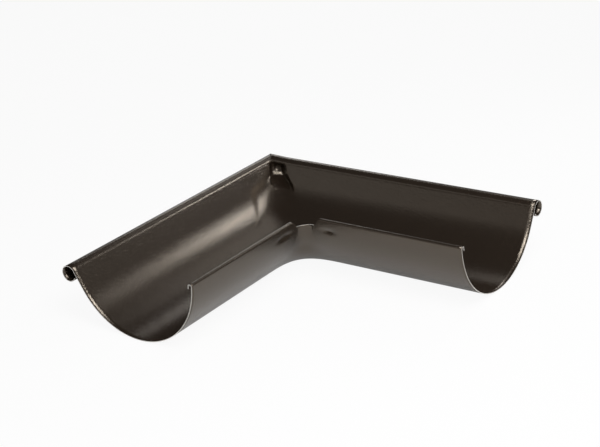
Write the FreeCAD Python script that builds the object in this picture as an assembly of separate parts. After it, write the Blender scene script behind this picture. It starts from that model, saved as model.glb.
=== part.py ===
"""External angle for a half-round gutter, pressed from one piece of coated steel sheet.

All lengths are millimetres.  The outer corner stands in the -X +Y quadrant: one arm
runs along +X, the other along -Y, and +Z is up.  The piece is laid out from the point
where the bottom lines of the two arms meet, and moved at the end so that the origin
is the middle of its foot print, level with the outside of the bottom lines.
"""
import math
import os

import FreeCAD
import Part

# Sheet and half-round section
SHEET = 0.7             # coated sheet thickness
INNER_RADIUS = 75.0     # nominal 150 mm half-round
FRONT_ARC_DEG = 60.75   # the front arc ends this far from the bottom line
FRONT_STRAIGHT = 20.95  # straight part of the front wall, from the arc to the bead
REAR_ARC_DEG = 87.2     # the rear wall ends this far from the bottom line

# Rolled bead on the front edge
BEAD_RADIUS = 8.4       # outside of the roll
BEAD_CURL_DEG = 305.0   # how far the sheet is rolled round
BEAD_SPLIT_DEG = 61.0   # the corner pressing reaches this far over the roll
RELIEF_DEG = 240.0      # beside the corner the roll stops here, clear of the pocket
RELIEF_LENGTH = 40.0    # length of that relief, from the mitre

# Hem on the rear edge, folded into the trough
HEM_WIDTH = 4.6         # outside width of the fold
HEM_LEG = 2.7           # straight free leg of the fold

# Arms, from the mitre point of the two centre lines to the cut ends
ARM_X = 256.0
ARM_Y = 251.0

# Rear edge at the corner: the hem stops and a raw edge runs lower round the corner
NOTCH_DEG = 83.0        # height of the raw edge, as an angle from the bottom line
NOTCH_X = 88.0          # start of the hem on the arm along +X, at the raw edge
NOTCH_Y = 86.5          # start of the hem on the arm along -Y, at the raw edge
HEM_SLANT_X = 1.0       # run of the hem's slanted end for each mm of height
HEM_SLANT_Y = 0.9

# Pocket pressed into the outer corner under the bead
POCKET_WIDTH = 17.2     # between the two creases, at the bead
POCKET_OFF = 4.4        # the pocket sits this far towards the arm along +X
POCKET_POWER = 5.0      # how square the pocket is in plan
RIGHT_DEPTH = 1.3       # its side towards the arm along +X is deeper by this factor
POCKET_START = 6.0      # it reaches its full width this far below the bead
CREASE = 2.0            # softness of the creases
FOLD_DEPTH = 1.3        # the fold line down the middle of the pocket
FOLD_WIDTH = 2.2
FOLD_SOFT = 1.0

# Laying out the pressed surfaces
COLUMNS = 20            # columns of points from the mitre to the end of the pressed zone
SEW_GAP = 0.01          # largest gap closed where pressed and plain faces meet

ROOT2 = math.sqrt(2.0)
AXIS_Z = INNER_RADIUS + SHEET   # height of the section's centre
MID_RADIUS = INNER_RADIUS + SHEET / 2
TROUGH_SIDE = 0.5               # sheet face towards the water
BACK_SIDE = -0.5                # sheet face away from it


def rad(degrees):
    return degrees * math.pi / 180.0


def spread(start, end, count):
    """Evenly spaced values from start to end."""
    return [start + (end - start) * i / count for i in range(count + 1)]


def ramp(x, table):
    """Smooth curve through a short table of (x, value) pairs with rising x."""
    if x <= table[0][0]:
        return table[0][1]
    if x >= table[-1][0]:
        return table[-1][1]
    slopes = []
    for i in range(len(table)):
        before = table[max(i - 1, 0)]
        after = table[min(i + 1, len(table) - 1)]
        here = table[i]
        rise_in = here[1] - before[1]
        rise_out = after[1] - here[1]
        flat = i in (0, len(table) - 1) or rise_in * rise_out <= 0
        slopes.append(0.0 if flat else (after[1] - before[1]) / (after[0] - before[0]))
    i = 0
    while x > table[i + 1][0]:
        i += 1
    (x0, y0), (x1, y1) = table[i], table[i + 1]
    k = (x - x0) / (x1 - x0)
    ease = k * k * (3 - 2 * k)
    start = k * (1 - k) ** 2 * slopes[i] * (x1 - x0)
    end = k * k * (k - 1) * slopes[i + 1] * (x1 - x0)
    return y0 + ease * (y1 - y0) + start + end


# The section is one path from the notch height on the rear wall, down through the
# bottom and up the front wall to the split on the bead.  Lengths along it are "v".
ARC_LENGTH = MID_RADIUS * rad(NOTCH_DEG + FRONT_ARC_DEG)
STRAIGHT_END = ARC_LENGTH + FRONT_STRAIGHT
ROLL_RADIUS = BEAD_RADIUS - SHEET / 2
PATH_END = STRAIGHT_END + ROLL_RADIUS * rad(BEAD_SPLIT_DEG)
FRONT = rad(FRONT_ARC_DEG)


def bead_centre():
    """Centre of the rolled bead, as (u, z)."""
    reach = MID_RADIUS + ROLL_RADIUS
    u = -reach * math.sin(FRONT) - FRONT_STRAIGHT * math.cos(FRONT)
    z = AXIS_Z - reach * math.cos(FRONT) + FRONT_STRAIGHT * math.sin(FRONT)
    return u, z


def bead_point(turn, side):
    """Point on the bead, turned this many radians from where the roll starts."""
    u, z = bead_centre()
    angle = math.pi / 2 - FRONT + turn
    radius = ROLL_RADIUS + side * SHEET
    return u + radius * math.cos(angle), z + radius * math.sin(angle)


def wall_point(theta, side):
    """Point on the half-round at an angle from the bottom, rear side positive."""
    radius = MID_RADIUS - side * SHEET
    return radius * math.sin(theta), AXIS_Z - radius * math.cos(theta)


def path_point(v, side):
    """Point (u, z) of the section at length v; u grows towards the rear."""
    if v <= ARC_LENGTH:
        return wall_point(rad(NOTCH_DEG) - v / MID_RADIUS, side)
    if v <= STRAIGHT_END:
        u, z = wall_point(-FRONT, side)
        run = v - ARC_LENGTH
        return u - run * math.cos(FRONT), z + run * math.sin(FRONT)
    return bead_point((v - STRAIGHT_END) / ROLL_RADIUS, side)


def rounding(v):
    """Half width, across the corner, of the rounded zone at length v."""
    if v <= ARC_LENGTH:
        theta = NOTCH_DEG - math.degrees(v / MID_RADIUS)
        return ramp(-theta, (
            (-NOTCH_DEG, 8.4), (-75.0, 9.6), (-62.0, 17.0), (-48.0, 31.0),
            (-34.0, 40.0), (-15.0, 42.0), (10.0, 34.0), (30.0, 28.0),
            (48.0, 25.0), (FRONT_ARC_DEG, 18.0)))
    return ramp(v - ARC_LENGTH, ((0.0, 18.0), (0.75 * FRONT_STRAIGHT, 0.0)))


def flatness(v):
    """Shape of the rounding at length v: 0 is an even bend, 1 is a flat run between two bends."""
    return ramp(v, ((0.0, 1.0), (0.16 * ARC_LENGTH, 0.0)))


def soft_v(t, half, flat):
    """The distance |t|, rounded off smoothly within the given half width."""
    if half < 1e-6 or abs(t) >= half:
        return abs(t)
    x = abs(t) / half
    even = 0.375 + 0.75 * x ** 2 - 0.125 * x ** 4
    straight = 0.7 + 0.3 * x ** (1 / 0.3)
    return half * (even + flat * (straight - even))


def soft_max(a, b):
    gap = abs(a - b)
    if gap >= CREASE:
        return max(a, b)
    return max(a, b) + (CREASE - gap) ** 2 / (4 * CREASE)


# The bead's foot line meets its twin over this point of the diagonal.
FOOT_U, FOOT_Z = path_point(STRAIGHT_END, TROUGH_SIDE)
FOOT_D = -ROOT2 * FOOT_U


def pocket(t, z):
    """How far out along the diagonal the pocket's back wall lies."""
    drop = FOOT_Z - z
    back = FOOT_D + ramp(drop, (
        (0.0, 0.0), (9.0, -0.6), (13.5, -2.4), (16.3, -5.2), (18.5, -9.8), (20.5, -17.5),
        (22.5, -28.0), (26.0, -50.0), (40.0, -140.0)))
    half = POCKET_WIDTH / 2 + ramp(drop, ((0.0, 0.0), (12.0, 0.9), (26.0, 4.4)))
    depth = half + ramp(drop, ((0.0, 0.0), (12.0, 4.0), (24.0, 0.5), (40.0, 0.0)))
    if t > POCKET_OFF:
        depth *= RIGHT_DEPTH
    fold = FOLD_DEPTH * ramp(drop, ((1.0, 0.0), (5.0, 1.0), (13.0, 1.0), (18.0, 0.0)))
    off = abs(t - POCKET_OFF)
    from_fold = math.hypot(off, FOLD_SOFT) / FOLD_WIDTH
    squared = depth * (off / half) ** POCKET_POWER - fold * math.exp(-from_fold)
    share = ramp(drop, ((0.0, 0.0), (POCKET_START, 1.0)))
    return back - abs(t) - share * (squared - abs(t))


def place(t, d, z):
    """Point from its offset across and along the diagonal of the corner."""
    return FreeCAD.Vector((t - d) / ROOT2, (t + d) / ROOT2, z)


def inner_face(v, t):
    """Trough face of the sheet in the corner zone."""
    u, z = path_point(v, TROUGH_SIDE)
    d = -ROOT2 * u - soft_v(t, rounding(v), flatness(v))
    if v > 0.8 * ARC_LENGTH:
        d = soft_max(d, pocket(t, z))
    return place(t, d, z)


def normal(v, t, side):
    """Unit normal of the trough face, pointing away from the trough."""
    step = 0.01
    t0 = t if side > 0 else t - step
    t1 = t if side < 0 else t + step
    along = inner_face(v + step, t) - inner_face(v - step, t)
    across = inner_face(v, t1) - inner_face(v, t0)
    n = along.cross(across)
    return n.normalize()


def outer_face(v, t):
    """Back face of the sheet, one thickness behind the trough face."""
    base = inner_face(v, t)
    if abs(t) > 1e-9:
        return base + normal(v, t, 0) * SHEET
    if v >= PATH_END:
        u, z = path_point(v, BACK_SIDE)
        return place(0.0, -ROOT2 * u, z)
    left = normal(v, t, -1)
    right = normal(v, t, 1)
    return base + (left + right) * (SHEET / (1 + left.dot(right)))


def grid_bands():
    """Lengths v at which the corner surface is laid out, in three bands of rows."""
    rear = spread(0.0, 0.66 * ARC_LENGTH, 12)
    front = spread(0.66 * ARC_LENGTH, 0.94 * ARC_LENGTH, 7)
    ledge = spread(0.94 * ARC_LENGTH, ARC_LENGTH, 5)
    arc = rear[:-1] + front[:-1] + ledge
    return arc, spread(ARC_LENGTH, STRAIGHT_END, 14), spread(STRAIGHT_END, PATH_END, 7)


def pressed_reach(v, notch):
    """How far across the corner the pressed surface goes at length v."""
    start = (notch - path_point(0.0, TROUGH_SIDE)[0]) / ROOT2
    if v <= ARC_LENGTH:
        theta = NOTCH_DEG - math.degrees(v / MID_RADIUS)
        return ramp(-theta, (
            (-NOTCH_DEG, start), (-72.0, 19.0), (-60.0, 27.0), (-48.0, 35.0),
            (-34.0, 42.0), (-15.0, 44.0), (10.0, 37.0), (30.0, 31.0),
            (48.0, 28.0), (FRONT_ARC_DEG, 23.0)))
    return ramp(v - ARC_LENGTH, ((0.0, 23.0), (FRONT_STRAIGHT, 17.0), (PATH_END, 17.0)))


def curve(points, params):
    """Smooth curve through points at given parameters."""
    c = Part.BSplineCurve()
    c.interpolate(Points=points, Parameters=params)
    return c


def surface(points, row_params, col_params):
    """Smooth surface through a grid of points, rows first."""
    columns = len(col_params)
    poles = []
    for j in range(columns):
        poles.append(curve([row[j] for row in points], row_params).getPoles())
    net = []
    for i in range(len(poles[0])):
        net.append(curve([column[i] for column in poles], col_params).getPoles())
    row_mults = [4] + [1] * (len(row_params) - 2) + [4]
    col_mults = [4] + [1] * (columns - 2) + [4]
    s = Part.BSplineSurface()
    s.buildFromPolesMultsKnots(net, row_mults, col_mults, row_params, col_params,
                               False, False, 3, 3)
    return s


def arm_point(arm, s, u, z):
    """Point at distance s out on an arm; arm is 1 for +X and -1 for -Y."""
    if arm > 0:
        return FreeCAD.Vector(s, -u, z)
    return FreeCAD.Vector(u, -s, z)


def section_curve(arm, point_at, turns, station):
    """Curve through section points; station gives the distance out for each."""
    points = []
    for turn in turns:
        u, z = point_at(turn)
        points.append(arm_point(arm, station(u, z), u, z))
    return curve(points, turns).toShape()


def ruled(a, b):
    return Part.makeRuledSurface(a, b)


def line(a, b):
    return Part.makeLine(a, b)


# Hem: the rear wall goes on up, folds inwards over the top and ends in a free leg.
REAR = rad(REAR_ARC_DEG)
NOTCH = rad(NOTCH_DEG)
HEM_ROLL = (HEM_WIDTH - SHEET) / 2


def hem_bend_point(turn, side):
    """Point on the fold, turned this many radians from the top of the rear wall."""
    radius = MID_RADIUS - HEM_ROLL
    u = radius * math.sin(REAR)
    z = AXIS_Z - radius * math.cos(REAR)
    angle = REAR - math.pi / 2 + turn
    reach = HEM_ROLL - side * SHEET
    return u + reach * math.cos(angle), z + reach * math.sin(angle)


def hem_end_point(side):
    u, z = hem_bend_point(math.pi, side)
    return u - HEM_LEG * math.cos(REAR), z - HEM_LEG * math.sin(REAR)


def hem_edges(arm, side, station):
    """The three edges of one hem face in one cross-section, from the notch up."""
    wall = section_curve(arm, lambda a: wall_point(a, side), spread(NOTCH, REAR, 4), station)
    bend = section_curve(arm, lambda a: hem_bend_point(a, side), spread(0.0, math.pi, 12), station)
    u, z = hem_bend_point(math.pi, side)
    top = arm_point(arm, station(u, z), u, z)
    u, z = hem_end_point(side)
    tip = arm_point(arm, station(u, z), u, z)
    return [wall, bend, line(top, tip)]


def bead_arc(arm, side, out, start_deg, end_deg):
    """Arc of the roll in the cross-section this far out on the arm."""
    points = []
    for turn in (start_deg, (start_deg + end_deg) / 2, end_deg):
        u, z = bead_point(rad(turn), side)
        points.append(arm_point(arm, out, u, z))
    return Part.Arc(*points).toShape()


def mitre_block(arm):
    """Block that fills the far side of the upright mitre plane through the corner."""
    size = 8 * INNER_RADIUS
    block = Part.makeBox(size, size, size, FreeCAD.Vector(-size / 2, 0.0, -size / 2))
    turn = 135.0 if arm > 0 else -45.0
    block.rotate(FreeCAD.Vector(0, 0, 0), FreeCAD.Vector(0, 0, 1), turn)
    return block


def ends(edge):
    return edge.Vertexes[0].Point, edge.Vertexes[-1].Point


def across_sheet(a, b):
    """Short edge through the sheet between the first points of two edges."""
    return line(ends(a)[0], ends(b)[0])


def tip_line(pair):
    """Short edge through the sheet between the last points of two edges."""
    return line(ends(pair[0])[1], ends(pair[1])[1])


def flat_face(edges):
    return Part.Face(Part.Wire(Part.__sortEdges__(edges)))


def build_arm(arm, length, notch, slant):
    """All faces of one arm, from the mitre to its cut end."""
    faces = []

    # Pressed corner, then the plain trough on to the cut end, on both faces of the sheet
    raw_edge = []
    trough_ends = []
    even = spread(0.0, 1.0, COLUMNS)
    for side, face_point in ((TROUGH_SIDE, inner_face), (BACK_SIDE, outer_face)):
        for rows in grid_bands():
            params = [v / PATH_END for v in rows]
            grid = []
            ends_at = []
            for v in rows:
                reach = pressed_reach(v, notch)
                grid.append([face_point(v, arm * reach * w) for w in even])
                u, z = path_point(v, side)
                ends_at.append(arm_point(arm, length, u, z))
            patch = surface(grid, params, even)
            cut_end = curve(ends_at, params).toShape()
            faces.append(patch.toShape())
            faces.append(ruled(patch.vIso(1.0).toShape(), cut_end))
            trough_ends.append(cut_end)
            if rows[0] == 0.0:
                raw_edge.append(patch.uIso(0.0).toShape())
    faces.append(ruled(raw_edge[0], raw_edge[1]))

    # Bead: over the roll to the mitre, then the last of the curl, which stops short
    corner = mitre_block(arm)
    relief = bead_centre()[0] + RELIEF_LENGTH
    over = []
    curl = []
    for side in (TROUGH_SIDE, BACK_SIDE):
        start = bead_arc(arm, side, 2 * bead_centre()[0], BEAD_SPLIT_DEG, RELIEF_DEG)
        run = arm_point(arm, length - 2 * bead_centre()[0], 0.0, 0.0)
        faces += start.extrude(run).cut(corner).Faces
        start.translate(run)
        over.append(start)
        start = bead_arc(arm, side, relief, RELIEF_DEG, BEAD_CURL_DEG)
        run = arm_point(arm, length - relief, 0.0, 0.0)
        faces.append(start.extrude(run))
        stop = start.copy()
        stop.translate(run)
        curl.append((start, stop))
    tips = [tip_line([curl[0][k], curl[1][k]]) for k in (0, 1)]
    faces.append(ruled(tips[0], tips[1]))
    heel = line(ends(curl[0][0])[0], ends(curl[1][0])[0])
    faces.append(flat_face([curl[0][0], curl[1][0], tips[0], heel]))
    mitre_tip = []
    for side in (TROUGH_SIDE, BACK_SIDE):
        u, z = bead_point(rad(RELIEF_DEG), side)
        mitre_tip.append(arm_point(arm, u, u, z))
    faces.append(ruled(line(mitre_tip[0], mitre_tip[1]), heel))
    beads = over + [curl[0][1], curl[1][1]]

    # Hem, with a slanted end at the notch
    u0, z0 = wall_point(NOTCH, 0.0)

    def slanted(u, z):
        climb = (u - u0) * math.cos(NOTCH) + (z - z0) * math.sin(NOTCH)
        return notch + slant * climb

    hems = []
    for station in (slanted, lambda u, z: length):
        hems.append([hem_edges(arm, side, station) for side in (TROUGH_SIDE, BACK_SIDE)])
    for here, there in zip(hems, hems[1:]):
        for k in (0, 1):
            for a, b in zip(here[k], there[k]):
                faces.append(ruled(a, b))
        tip_here = tip_line([here[0][2], here[1][2]])
        tip_there = tip_line([there[0][2], there[1][2]])
        faces.append(ruled(tip_here, tip_there))
    start = hems[0]
    foot = across_sheet(start[0][0], start[1][0])
    tip = tip_line([start[0][2], start[1][2]])
    faces.append(flat_face(start[0] + start[1] + [foot, tip]))

    # Cut end of the arm
    last = hems[-1][0] + hems[-1][1] + beads + trough_ends + [tips[1]]
    last.append(tip_line([hems[-1][0][2], hems[-1][1][2]]))
    faces.append(flat_face(last))
    return faces


def foot_print_centre():
    """Middle of the foot print, seen from the point where the bottom lines meet."""
    front = bead_centre()[0] - BEAD_RADIUS
    return FreeCAD.Vector((ARM_X + front) / 2, -(ARM_Y + front) / 2, 0.0)


def main():
    faces = build_arm(1, ARM_X, NOTCH_X, HEM_SLANT_X)
    faces += build_arm(-1, ARM_Y, NOTCH_Y, HEM_SLANT_Y)
    skin = Part.makeCompound(faces)
    skin.sewShape(SEW_GAP)
    shell = skin.Shells[0]
    solid = Part.makeSolid(shell)
    if solid.Volume < 0:
        solid.reverse()
    solid.translate(-foot_print_centre())
    print("closed", shell.isClosed(), "valid", solid.isValid(), "faces", len(solid.Faces))
    print("volume", round(solid.Volume), "box", solid.BoundBox)
    os.makedirs("parts", exist_ok=True)
    solid.exportStep("parts/gutter_angle.step")


main()
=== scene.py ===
"""Looks of a gutter external angle: a fine mesh of the pressed sheet, its coating and the studio.

The mesh follows the same formulas as the CAD source, on a much finer grid. It adds what is too
small for the solid: two dents under the hem, a step left by the corner's die, a low arch at the
pocket's rim, a squarer pocket with a lower, sloping ledge, and the raised top of the right
arm's bead at the mitre.

Lengths of the sheet are in millimetres in the layout frame of the CAD source, and become metres
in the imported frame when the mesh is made. The letters in the formulas mean:
  u, z   across an arm, positive towards the rear wall, and up
  s      out along an arm; the right arm runs along +X and the left arm along -Y
  t, d   across the diagonal of the corner, positive on the right arm, and out along it,
         positive where the bead is
  v      round the section, from the height of the notch on the rear wall to the bead
"""
import math

import bpy
from mathutils import Matrix, Vector


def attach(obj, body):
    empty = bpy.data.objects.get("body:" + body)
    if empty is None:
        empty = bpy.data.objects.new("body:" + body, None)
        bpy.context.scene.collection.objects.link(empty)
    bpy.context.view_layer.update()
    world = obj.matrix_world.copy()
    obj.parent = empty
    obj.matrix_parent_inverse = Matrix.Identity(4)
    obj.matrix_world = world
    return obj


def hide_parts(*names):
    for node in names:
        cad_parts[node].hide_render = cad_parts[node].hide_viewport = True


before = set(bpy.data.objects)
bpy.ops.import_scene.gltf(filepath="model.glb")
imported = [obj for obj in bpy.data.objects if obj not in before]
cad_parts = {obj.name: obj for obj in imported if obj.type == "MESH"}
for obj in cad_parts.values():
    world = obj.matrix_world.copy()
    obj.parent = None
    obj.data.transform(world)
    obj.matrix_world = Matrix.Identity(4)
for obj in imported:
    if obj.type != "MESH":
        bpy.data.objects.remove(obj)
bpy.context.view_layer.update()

ROOT2 = math.sqrt(2.0)
MM = 0.001

# Section of an arm
SHEET = 0.7
INNER_RADIUS = 75.0
FRONT_ARC_DEG = 60.75
FRONT_STRAIGHT = 20.95
REAR_ARC_DEG = 87.2
BEAD_RADIUS = 8.4
BEAD_CURL_DEG = 305.0
BEAD_SPLIT_DEG = 61.0
HEM_WIDTH = 4.6
HEM_LEG = 2.7

# The end of the bead's curl is cut back near the corner
RELIEF_DEG = 240.0
RELIEF_LENGTH = 40.0

# Arms: length, start of the hem, and slant of the hem's end
ARM_X = 256.0
ARM_Y = 251.0
NOTCH_DEG = 83.0
ARMS = {1: (ARM_X, 88.0, 1.0), -1: (ARM_Y, 86.5, 0.9)}

# Values that follow from the section
AXIS_Z = INNER_RADIUS + SHEET
MID_RADIUS = INNER_RADIUS + SHEET / 2
TROUGH_SIDE = 0.5
BACK_SIDE = -0.5
FRONT = math.radians(FRONT_ARC_DEG)
REAR = math.radians(REAR_ARC_DEG)
NOTCH = math.radians(NOTCH_DEG)
ARC_LENGTH = MID_RADIUS * math.radians(NOTCH_DEG + FRONT_ARC_DEG)
STRAIGHT_END = ARC_LENGTH + FRONT_STRAIGHT
ROLL_RADIUS = BEAD_RADIUS - SHEET / 2
PATH_END = STRAIGHT_END + ROLL_RADIUS * math.radians(BEAD_SPLIT_DEG)
HEM_ROLL = (HEM_WIDTH - SHEET) / 2

# The foot of the bead is rounded over the pocket, so that the pocket's rim is a low arch
LIP = 3.5

# Half width of the corner's rounding, against the angle round the half-round from its lowest
# line, and then against the length up the straight wall
ROUNDING_ARC = (
    (-NOTCH_DEG, 8.4), (-75.0, 9.6), (-62.0, 17.0), (-48.0, 31.0), (-34.0, 40.0),
    (-15.0, 42.0), (10.0, 34.0), (30.0, 28.0), (48.0, 25.0), (FRONT_ARC_DEG, 18.0))
ROUNDING_STRAIGHT = (
    (0.0, 18.0), (0.75 * FRONT_STRAIGHT, 0.0), (0.8 * FRONT_STRAIGHT, 0.0),
    (FRONT_STRAIGHT, LIP), (FRONT_STRAIGHT + 2.5, LIP), (FRONT_STRAIGHT + 8.0, 0.0))

# Near the notch the rounding is a flat run between two bends: how much so, against v, and the
# share of its half width that each bend takes
FLATNESS = ((0.0, 1.0), (0.16 * ARC_LENGTH, 0.0))
BEND_SHARE = 0.3

# The pocket, which is looked for from POCKET_FROM on. The tables go by the drop below the
# bead's foot: how far out its back lies, what its half width gains, how much its sides are
# deeper than wide, and how strong the fold is.
POCKET_WIDTH = 17.2
POCKET_OFF = 4.4
POCKET_POWER = 7.0
POCKET_START = 6.0
POCKET_BACK = (
    (0.0, 0.0), (11.0, -0.7), (15.0, -2.6), (17.6, -5.8), (19.5, -10.3), (21.2, -17.5),
    (22.7, -28.0), (26.0, -50.0), (40.0, -140.0))
POCKET_FLARE = ((0.0, 0.0), (12.0, 0.9), (26.0, 4.4))
POCKET_SIDES = ((0.0, 0.0), (12.0, 4.0), (24.0, 0.5), (40.0, 0.0))
POCKET_FOLD = ((1.0, 0.0), (4.0, 1.0), (8.0, 1.0), (12.0, 0.0))
POCKET_FROM = 0.8 * ARC_LENGTH
RIGHT_DEPTH = 1.3
LEDGE_FALL = 0.22
FOLD_DEPTH = 1.3
FOLD_WIDTH = 2.2
FOLD_SOFT = 0.5
CREASE = 1.2

# The top of the right arm's bead stands a little proud of the left one's at the mitre
LAP_RISE = 0.9
LAP_LENGTH = 20.0
LAP_CLIMB = 3.5

# Shallow dents on the rear walls: arm, distance out, height, length, height of dent, depth
DENTS = (
    (-1, 106.0, 63.2, 22.0, 5.4, 2.0),
    (1, 105.0, 62.2, 15.0, 5.0, 1.8),
)
DENTS_END = 0.3 * ARC_LENGTH

# The front wall of the left arm steps out where the corner's die began. The second table goes
# by the length up the straight wall.
MARK_DEPTH = 1.2
MARK_ACROSS = ((0.0, 0.0), (25.0, 1.0), (33.5, 0.0))
MARK_UP = ((-42.0, 0.0), (-28.0, 1.0), (-4.0, 1.0), (8.0, 0.0))
MARK_FROM = 0.6 * ARC_LENGTH

# How far across the corner the pressed zone of the grid goes, against the same two measures.
# Its first value depends on where the arm's hem starts.
PRESSED_ARC = (
    (-72.0, 19.0), (-60.0, 27.0), (-48.0, 35.0), (-34.0, 42.0), (-15.0, 44.0),
    (10.0, 39.0), (30.0, 35.0), (48.0, 33.0), (FRONT_ARC_DEG, 30.0))
PRESSED_BEAD = 17.0
PRESSED_STRAIGHT = ((0.0, 30.0), (FRONT_STRAIGHT, PRESSED_BEAD), (PATH_END, PRESSED_BEAD))

# Columns of the grid run from the mitre out to the end of the pressed zone, then to the cut
# end, where they stand further and further apart.
PRESSED_COLUMNS = 46
PLAIN_COLUMNS = 66
COLUMN_GROWTH = 1.5
COLUMNS = PRESSED_COLUMNS + PLAIN_COLUMNS

NORMAL_STEP = 0.01
TINY = 1e-6

# Coating: two close browns, a semi-gloss varnish and a fine leathery grain (in metres)
BROWN_DARK = (0.017, 0.0115, 0.008, 1.0)
BROWN_LIGHT = (0.021, 0.0145, 0.010, 1.0)
TONE_SCALE = 40.0
GRAIN_SCALE = 600.0
GRAIN_HEIGHT = 0.00025
COATING_GLOSS = {"Roughness": 0.19, "IOR": 1.6, "Specular IOR Level": 0.9,
                 "Specular Tint": (1.0, 0.87, 0.72, 1.0)}
CUT_EDGE = {"Base Color": (0.75, 0.72, 0.68, 1.0), "Metallic": 0.8, "Roughness": 0.5}

# Floor: its half width and drop in metres, its surface, and how much of its own white each
# kind of ray sees in place of that surface
FLOOR_REACH = 6.0
FLOOR_DROP = 0.0002
FLOOR_PAINT = {"Base Color": (0.86, 0.86, 0.86, 1.0), "Roughness": 0.9,
               "Specular IOR Level": 0.0}
FLOOR_GLOW = (("Is Camera Ray", 0.93), ("Is Glossy Ray", 0.25), ("Is Transmission Ray", 0.93))

# Brightness of the studio against the height of the direction, where 0 is straight down,
# 0.5 is level and 1 is straight up
STUDIO = (
    (0.0, 0.5), (0.50, 0.5), (0.57, 0.30), (0.645, 0.19), (0.74, 0.22), (0.82, 0.06),
    (1.0, 0.03))

# Softboxes round the target: name, direction, distance, width and height, power
TARGET = Vector((0.0, 0.0, 0.04))
LAMPS = (
    ("back_softbox", (0.211, 0.826, 0.524), 0.678, (0.09, 0.14), 0.45),
    ("back_fill", (0.29, 0.62, 0.73), 0.487, (0.13, 0.26), 0.08),
    ("key_softbox", (0.45, -0.27, 0.85), 1.2, (0.66, 0.66), 8.5),
    ("pocket_light", (0.62, -0.42, 0.66), 1.0, (0.35, 0.35), 2.8),
    ("left_back", (-0.60, 0.70, 0.40), 1.5, (0.5, 0.4), 1.1),
    ("left_top", (-0.12, 0.73, 0.67), 1.3, (0.6, 0.35), 0.46),
    ("wall_fill", (-0.556, -0.71, 0.424), 1.8, (1.2, 0.5), 0.47),
    ("front_fill", (0.2, -1.0, 0.9), 2.2, (0.8, 0.8), 2.0),
)

# Camera, as fitted to the straight edges and the cut ends in the photograph
CAMERA_PLACE = (0.74650, -0.99550, 0.59480)
CAMERA_AZIMUTH_DEG = 37.144
CAMERA_ELEVATION_DEG = 22.880
CAMERA_ROLL_DEG = -4.939
CAMERA_SENSOR = 36.0
CAMERA_LENS = 81.394


def spread(start, end, count):
    """Evenly spaced values from start to end."""
    return [start + (end - start) * i / count for i in range(count + 1)]


def ramp(x, table):
    """Smooth curve through a short table of (x, value) pairs with rising x."""
    if x <= table[0][0]:
        return table[0][1]
    if x >= table[-1][0]:
        return table[-1][1]
    slopes = []
    for i in range(len(table)):
        before = table[max(i - 1, 0)]
        after = table[min(i + 1, len(table) - 1)]
        here = table[i]
        rise_in = here[1] - before[1]
        rise_out = after[1] - here[1]
        flat = i in (0, len(table) - 1) or rise_in * rise_out <= 0
        slopes.append(0.0 if flat else (after[1] - before[1]) / (after[0] - before[0]))
    i = 0
    while x > table[i + 1][0]:
        i += 1
    (x0, y0), (x1, y1) = table[i], table[i + 1]
    k = (x - x0) / (x1 - x0)
    ease = k * k * (3 - 2 * k)
    start = k * (1 - k) ** 2 * slopes[i] * (x1 - x0)
    end = k * k * (k - 1) * slopes[i + 1] * (x1 - x0)
    return y0 + ease * (y1 - y0) + start + end


def bead_centre():
    """Centre (u, z) of the bead's roll."""
    reach = MID_RADIUS + ROLL_RADIUS
    u = -reach * math.sin(FRONT) - FRONT_STRAIGHT * math.cos(FRONT)
    z = AXIS_Z - reach * math.cos(FRONT) + FRONT_STRAIGHT * math.sin(FRONT)
    return u, z


def bead_point(turn, side):
    """Point (u, z) of the bead, turned from where the straight wall meets it."""
    u, z = bead_centre()
    angle = math.pi / 2 - FRONT + turn
    radius = ROLL_RADIUS + side * SHEET
    return u + radius * math.cos(angle), z + radius * math.sin(angle)


def wall_point(theta, side):
    """Point (u, z) of the half-round at an angle from its lowest line, rear side positive."""
    radius = MID_RADIUS - side * SHEET
    return radius * math.sin(theta), AXIS_Z - radius * math.cos(theta)


def path_point(v, side):
    """Point (u, z) of the section at length v from the notch height on the rear wall."""
    if v <= ARC_LENGTH:
        return wall_point(NOTCH - v / MID_RADIUS, side)
    if v <= STRAIGHT_END:
        u, z = wall_point(-FRONT, side)
        run = v - ARC_LENGTH
        return u - run * math.cos(FRONT), z + run * math.sin(FRONT)
    return bead_point((v - STRAIGHT_END) / ROLL_RADIUS, side)


def hem_bend_point(turn, side):
    """Point (u, z) of the hem's fold, turned from the top of the rear wall."""
    radius = MID_RADIUS - HEM_ROLL
    u = radius * math.sin(REAR)
    z = AXIS_Z - radius * math.cos(REAR)
    angle = REAR - math.pi / 2 + turn
    reach = HEM_ROLL - side * SHEET
    return u + reach * math.cos(angle), z + reach * math.sin(angle)


def hem_leg_point(run, side):
    """Point (u, z) of the hem's leg, which points down into the trough."""
    u, z = hem_bend_point(math.pi, side)
    return u - run * math.cos(REAR), z - run * math.sin(REAR)


def along_section(v, arc_table, straight_table):
    """Value at length v of a pair of tables, for the half-round and for the straight wall."""
    if v <= ARC_LENGTH:
        return ramp(math.degrees(v / MID_RADIUS) - NOTCH_DEG, arc_table)
    return ramp(v - ARC_LENGTH, straight_table)


def soft_v(t, half, flat):
    """The distance |t| rounded off within a half width; flat is 1 for two bends, 0 for one."""
    if half < TINY or abs(t) >= half:
        return abs(t)
    x = abs(t) / half
    even = 0.375 + 0.75 * x ** 2 - 0.125 * x ** 4
    straight = 1 - BEND_SHARE + BEND_SHARE * x ** (1 / BEND_SHARE)
    return half * (even + flat * (straight - even))


def soft_max(a, b):
    """The larger value, with the change from one to the other rounded off."""
    gap = abs(a - b)
    if gap >= CREASE:
        return max(a, b)
    return max(a, b) + (CREASE - gap) ** 2 / (4 * CREASE)


FOOT_U, FOOT_Z = path_point(STRAIGHT_END, TROUGH_SIDE)
FOOT_D = -ROOT2 * FOOT_U


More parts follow.
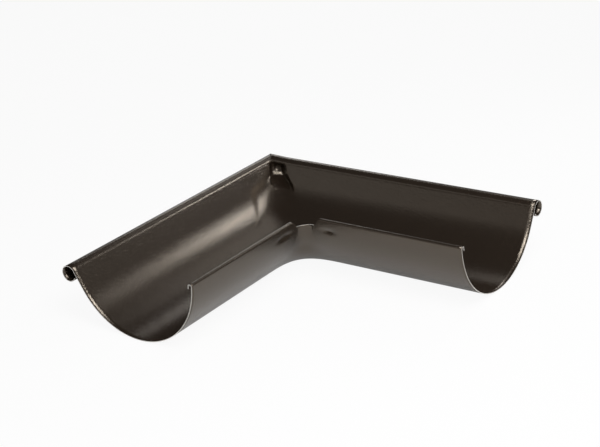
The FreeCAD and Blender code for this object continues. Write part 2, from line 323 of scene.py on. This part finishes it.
def pocket(t, z):
    """How far out along the diagonal the pocket's back wall lies."""
    drop = FOOT_Z - z
    off = abs(t - POCKET_OFF)
    back = FOOT_D + ramp(drop - LEDGE_FALL * (t - POCKET_OFF), POCKET_BACK)
    half = POCKET_WIDTH / 2 + ramp(drop, POCKET_FLARE)
    depth = half + ramp(drop, POCKET_SIDES)
    if t > POCKET_OFF:
        depth *= RIGHT_DEPTH
    fold = FOLD_DEPTH * ramp(drop, POCKET_FOLD)
    from_fold = math.hypot(off, FOLD_SOFT) / FOLD_WIDTH
    squared = depth * (off / half) ** POCKET_POWER - fold * math.exp(-from_fold)
    share = ramp(drop, ((0.0, 0.0), (POCKET_START, 1.0)))
    return back - abs(t) - share * (squared - abs(t))


def dent(arm, s, z):
    """How far the rear wall is pushed into the trough at this place."""
    depth = 0.0
    for side, out, height, length, tall, deep in DENTS:
        if side == arm:
            across = ((s - out) / (length / 2)) ** 2 + ((z - height) / (tall / 2)) ** 2
            depth += deep * math.exp(-across)
    return depth


def die_mark(v, t):
    """How far the die has pushed the left arm's front wall out at this place."""
    if t >= 0.0 or v < MARK_FROM or v > STRAIGHT_END:
        return 0.0
    return MARK_DEPTH * ramp(-t, MARK_ACROSS) * ramp(v - ARC_LENGTH, MARK_UP)


def lap(point):
    """How far the right arm's bead is raised near the mitre."""
    if point.y < point.x:
        return 0.0
    t = (point.x + point.y) / ROOT2
    near = ramp(t, ((0.0, 1.0), (LAP_LENGTH, 0.0)))
    return LAP_RISE * near * ramp(point.z, ((FOOT_Z, 0.0), (FOOT_Z + LAP_CLIMB, 1.0)))


def place(t, d, z):
    """Layout point from its offset across and along the diagonal of the corner."""
    return Vector(((t - d) / ROOT2, (t + d) / ROOT2, z))


def arm_point(arm, s, u, z):
    """Layout point at distance s out on an arm; arm is 1 for +X and -1 for -Y."""
    if arm > 0:
        return Vector((s, -u, z))
    return Vector((u, -s, z))


def inner_face(v, t):
    """Layout point of the sheet's trough face."""
    u, z = path_point(v, TROUGH_SIDE)
    if v < DENTS_END:
        u -= dent(1 if t > 0 else -1, u + ROOT2 * abs(t), z)
    u -= die_mark(v, t)
    half = along_section(v, ROUNDING_ARC, ROUNDING_STRAIGHT)
    d = -ROOT2 * u - soft_v(t, half, ramp(v, FLATNESS))
    if v > POCKET_FROM:
        d = soft_max(d, pocket(t, z))
    return place(t, d, z)


def normal(v, t, side):
    """Unit normal of the trough face, pointing away from the trough.

    The side is 0, or at the mitre -1 or 1 for the normal of one arm alone.
    """
    t0 = t if side > 0 else t - NORMAL_STEP
    t1 = t if side < 0 else t + NORMAL_STEP
    along = inner_face(v + NORMAL_STEP, t) - inner_face(v - NORMAL_STEP, t)
    across = inner_face(v, t1) - inner_face(v, t0)
    return along.cross(across).normalized()


def outer_face(v, t):
    """Layout point of the back face, one thickness behind the trough face."""
    base = inner_face(v, t)
    if abs(t) > TINY:
        return base + normal(v, t, 0) * SHEET
    if v >= PATH_END - TINY:
        u, z = path_point(v, BACK_SIDE)
        return place(0.0, -ROOT2 * u, z)
    left = normal(v, t, -1)
    right = normal(v, t, 1)
    return base + (left + right) * (SHEET / (1 + left.dot(right)))


# Rows of the grid run round the section, from the hem's tip to the end of the curl.
ROWS = [("leg", x) for x in spread(HEM_LEG, 0.0, 3)[:-1]]
ROWS += [("bend", x) for x in spread(math.pi, 0.0, 16)[:-1]]
ROWS += [("wall", x) for x in spread(REAR, NOTCH, 4)[:-1]]
ROWS += [("path", x) for x in spread(0.0, ARC_LENGTH, 104)[:-1]]
ROWS += [("path", x) for x in spread(ARC_LENGTH, STRAIGHT_END, 26)[:-1]]
ROWS += [("path", x) for x in spread(STRAIGHT_END, PATH_END, 12)]
ROWS += [("roll", math.radians(x)) for x in spread(BEAD_SPLIT_DEG, RELIEF_DEG, 44)[1:]]
ROWS += [("curl", math.radians(x)) for x in spread(RELIEF_DEG, BEAD_CURL_DEG, 12)[1:]]

HEM_ZONES = {"leg": hem_leg_point, "bend": hem_bend_point, "wall": wall_point}


def hem_grid_point(arm, zone, value, side, out):
    """Point of the hem, or of the rear wall above the notch."""
    length, notch, slant = ARMS[arm]
    u, z = HEM_ZONES[zone](value, side)
    u0, z0 = wall_point(NOTCH, 0.0)
    climb = (u - u0) * math.cos(NOTCH) + (z - z0) * math.sin(NOTCH)
    start = notch + slant * climb
    s = start + (length - start) * out
    if zone == "wall":
        u -= dent(arm, s, z)
    return arm_point(arm, s, u, z)


def path_grid_point(arm, v, column, side, out):
    """Point of the sheet between the notch and the bead, across the pressed corner."""
    length, notch, _ = ARMS[arm]
    face = inner_face if side > 0 else outer_face
    u, z = path_point(v, TROUGH_SIDE)
    hem_start = (notch - path_point(0.0, TROUGH_SIDE)[0]) / ROOT2
    reach = along_section(v, ((-NOTCH_DEG, hem_start),) + PRESSED_ARC, PRESSED_STRAIGHT)
    if column <= PRESSED_COLUMNS:
        return face(v, arm * reach * column / PRESSED_COLUMNS)
    start = u + ROOT2 * reach
    s = start + (length - start) * out
    point = face(v, arm * (s - u) / ROOT2)
    if column == COLUMNS:
        point[0 if arm > 0 else 1] = arm * length
    return point


def bead_grid_point(arm, zone, turn, column, side, out):
    """Point of the bead's roll, or of the last part of its curl beyond the relief."""
    length = ARMS[arm][0]
    relief = bead_centre()[0] + RELIEF_LENGTH
    u, z = bead_point(turn, side)
    if zone == "curl":
        return arm_point(arm, relief + (length - relief) * out, u, z)
    split, last = math.radians(BEAD_SPLIT_DEG), math.radians(RELIEF_DEG)
    share = (turn - split) / (last - split)
    reach = (1 - share) * PRESSED_BEAD + share * (relief - bead_point(last, side)[0]) / ROOT2
    if column <= PRESSED_COLUMNS:
        return arm_point(arm, u + ROOT2 * (reach * column / PRESSED_COLUMNS), u, z)
    start = u + ROOT2 * reach
    return arm_point(arm, start + (length - start) * out, u, z)


def grid_point(arm, row, column, side):
    """Layout point of one corner of the grid, on one face of the sheet, or None."""
    zone, value = ROWS[row]
    out = (max(column - PRESSED_COLUMNS, 0) / PLAIN_COLUMNS) ** COLUMN_GROWTH
    if zone == "path":
        return path_grid_point(arm, value, column, side, out)
    if zone != "roll" and column < PRESSED_COLUMNS:
        return None
    if zone in HEM_ZONES:
        return hem_grid_point(arm, zone, value, side, out)
    return bead_grid_point(arm, zone, value, column, side, out)


def grid_points():
    """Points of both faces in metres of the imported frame, and the place of each in the list."""
    centre = bead_centre()[0] - BEAD_RADIUS
    shift = Vector((-(ARM_X + centre) / 2, (ARM_Y + centre) / 2, 0.0))
    points = []
    index = {}
    for side in (TROUGH_SIDE, BACK_SIDE):
        for arm in (1, -1):
            for row in range(len(ROWS)):
                for column in range(COLUMNS + 1):
                    # both arms share the points of the mitre
                    if arm < 0 and column == 0 and (1, row, 0, side) in index:
                        index[arm, row, column, side] = index[1, row, 0, side]
                        continue
                    point = grid_point(arm, row, column, side)
                    if point is not None:
                        if arm > 0 and column > 0:
                            point.z += lap(point)
                        index[arm, row, column, side] = len(points)
                        points.append((point + shift) * MM)
    return points, index


def grid_faces(index):
    """Faces of both sides of the sheet, and the edges where the trough side ends."""
    faces = []
    edges = {}
    for side in (TROUGH_SIDE, BACK_SIDE):
        for arm in (1, -1):
            for row in range(len(ROWS) - 1):
                for column in range(COLUMNS):
                    corners = [(arm, row, column, side), (arm, row + 1, column, side),
                               (arm, row + 1, column + 1, side), (arm, row, column + 1, side)]
                    if any(c not in index for c in corners):
                        continue
                    if arm * side < 0:
                        corners.reverse()
                    faces.append([index[c] for c in corners])
                    if side == TROUGH_SIDE:
                        # an edge that a second face has too is not on the rim
                        for a, b in zip(corners, corners[1:] + corners[:1]):
                            key = frozenset((index[a], index[b]))
                            edges[key] = None if key in edges else (a, b)
    return faces, [pair for pair in edges.values() if pair is not None]


def build_sheet():
    """The whole sheet as one closed mesh: two faces joined by the cut edges."""
    points, index = grid_points()
    faces, rim = grid_faces(index)
    cuts = []
    for a, b in rim:
        back_a, back_b = index[a[:3] + (BACK_SIDE,)], index[b[:3] + (BACK_SIDE,)]
        cuts.append([index[b], index[a], back_a, back_b])
    mesh = bpy.data.meshes.new("gutter_sheet")
    mesh.from_pydata([tuple(p) for p in points], [], faces + cuts)
    for k, polygon in enumerate(mesh.polygons):
        polygon.material_index = 0 if k < len(faces) else 1
        polygon.use_smooth = k < len(faces)
    mesh.update()
    return mesh


def set_inputs(node, values):
    """Default values of a shader node's inputs, by name."""
    for name, value in values.items():
        node.inputs[name].default_value = value


def add_node(tree, kind, **inputs):
    """A shader node with the given input values."""
    node = tree.nodes.new(kind)
    set_inputs(node, inputs)
    return node


def new_material(name, values):
    """A node material, its tree, and its Principled shader with the given input values."""
    material = bpy.data.materials.new(name)
    material.use_nodes = True
    shader = material.node_tree.nodes["Principled BSDF"]
    set_inputs(shader, values)
    return material, material.node_tree, shader


def coating_material():
    """Dark brown coating, semi-gloss, with a fine leathery grain."""
    material, tree, shader = new_material("brown_coating", COATING_GLOSS)
    link = tree.links.new
    where = tree.nodes.new("ShaderNodeTexCoord")
    grain = add_node(tree, "ShaderNodeTexNoise", Scale=GRAIN_SCALE, Detail=2.0, Roughness=0.5)
    link(where.outputs["Object"], grain.inputs["Vector"])
    bump = add_node(tree, "ShaderNodeBump", Strength=1.0, Distance=GRAIN_HEIGHT)
    link(grain.outputs["Fac"], bump.inputs["Height"])
    link(bump.outputs["Normal"], shader.inputs["Normal"])
    tone = add_node(tree, "ShaderNodeTexNoise", Scale=TONE_SCALE, Detail=2.0)
    link(where.outputs["Object"], tone.inputs["Vector"])
    mix = tree.nodes.new("ShaderNodeMix")
    mix.data_type = "RGBA"
    mix.inputs["A"].default_value = BROWN_DARK
    mix.inputs["B"].default_value = BROWN_LIGHT
    link(tone.outputs["Fac"], mix.inputs["Factor"])
    link(mix.outputs["Result"], shader.inputs["Base Color"])
    return material


def edge_material():
    """Sheared edge of the sheet: zinc and steel with the coating's lip."""
    return new_material("cut_edge", CUT_EDGE)[0]


def build_world():
    """Pale walls near the floor that darken towards the ceiling."""
    world = bpy.data.worlds.new("studio")
    bpy.context.scene.world = world
    world.use_nodes = True
    tree = world.node_tree
    link = tree.links.new
    where = tree.nodes.new("ShaderNodeTexCoord")
    split = tree.nodes.new("ShaderNodeSeparateXYZ")
    link(where.outputs["Generated"], split.inputs[0])
    height = tree.nodes.new("ShaderNodeMapRange")
    height.inputs["From Min"].default_value = -1.0
    link(split.outputs["Z"], height.inputs["Value"])
    shade = tree.nodes.new("ShaderNodeValToRGB")
    stops = shade.color_ramp.elements
    while len(stops) < len(STUDIO):
        stops.new(0.5)
    for stop, (position, level) in zip(stops, STUDIO):
        stop.position = position
        stop.color = (level, level, level, 1.0)
    link(height.outputs[0], shade.inputs["Fac"])
    link(shade.outputs["Color"], tree.nodes["Background"].inputs["Color"])
    tree.nodes["Background"].inputs["Strength"].default_value = 1.0


def build_floor():
    """Wide pale floor, white to the eye, that keeps a soft shadow of the object."""
    mesh = bpy.data.meshes.new("floor")
    r = FLOOR_REACH
    mesh.from_pydata([(-r, -r, 0), (r, -r, 0), (r, r, 0), (-r, r, 0)], [], [(0, 1, 2, 3)])
    floor = bpy.data.objects.new("floor", mesh)
    floor.location.z = -FLOOR_DROP
    bpy.context.scene.collection.objects.link(floor)
    material, tree, shader = new_material("pale_floor", FLOOR_PAINT)
    link = tree.links.new
    glow = tree.nodes.new("ShaderNodeEmission")
    path = tree.nodes.new("ShaderNodeLightPath")
    # the levels of the ray kinds are added up in a chain of nodes
    share = None
    for ray, level in FLOOR_GLOW:
        step = tree.nodes.new("ShaderNodeMath")
        step.operation = "MULTIPLY_ADD"
        link(path.outputs[ray], step.inputs[0])
        step.inputs[1].default_value = level
        step.inputs[2].default_value = 0.0
        if share is not None:
            link(share.outputs[0], step.inputs[2])
        share = step
    mix = tree.nodes.new("ShaderNodeMixShader")
    link(share.outputs[0], mix.inputs["Fac"])
    link(shader.outputs[0], mix.inputs[1])
    link(glow.outputs[0], mix.inputs[2])
    link(mix.outputs[0], tree.nodes["Material Output"].inputs["Surface"])
    mesh.materials.append(material)


def add_lamp(name, toward, distance, size, watts):
    """Softbox that shines on the object from the given direction."""
    lamp = bpy.data.lights.new(name, "AREA")
    lamp.shape = "RECTANGLE"
    lamp.size, lamp.size_y = size
    lamp.energy = watts
    body = bpy.data.objects.new(name, lamp)
    direction = Vector(toward).normalized()
    body.location = TARGET + direction * distance
    body.rotation_euler = direction.to_track_quat("Z", "Y").to_euler()
    bpy.context.scene.collection.objects.link(body)


def build_camera():
    """Camera at the photograph's place and angle."""
    camera = bpy.data.cameras.new("camera")
    camera.sensor_width = CAMERA_SENSOR
    camera.lens = CAMERA_LENS
    body = bpy.data.objects.new("camera", camera)
    azimuth = math.radians(CAMERA_AZIMUTH_DEG)
    elevation = math.radians(CAMERA_ELEVATION_DEG)
    roll = math.radians(CAMERA_ROLL_DEG)
    back = Vector((math.sin(azimuth) * math.cos(elevation),
                   -math.cos(azimuth) * math.cos(elevation), math.sin(elevation)))
    flat_right = Vector((math.cos(azimuth), math.sin(azimuth), 0.0))
    flat_up = back.cross(flat_right)
    right = flat_right * math.cos(roll) + flat_up * math.sin(roll)
    up = back.cross(right)
    rows = [(right[i], up[i], back[i], CAMERA_PLACE[i]) for i in range(3)]
    body.matrix_world = Matrix(rows + [(0.0, 0.0, 0.0, 1.0)])
    bpy.context.scene.collection.objects.link(body)
    bpy.context.scene.camera = body


bpy.context.scene.view_settings.view_transform = "Standard"
build_camera()
build_world()
build_floor()
for lamp_values in LAMPS:
    add_lamp(*lamp_values)

sheet = bpy.data.objects.new("pressed_sheet", build_sheet())
sheet.data.materials.append(coating_material())
sheet.data.materials.append(edge_material())
bpy.context.scene.collection.objects.link(sheet)
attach(sheet, "root")
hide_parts("gutter_angle")
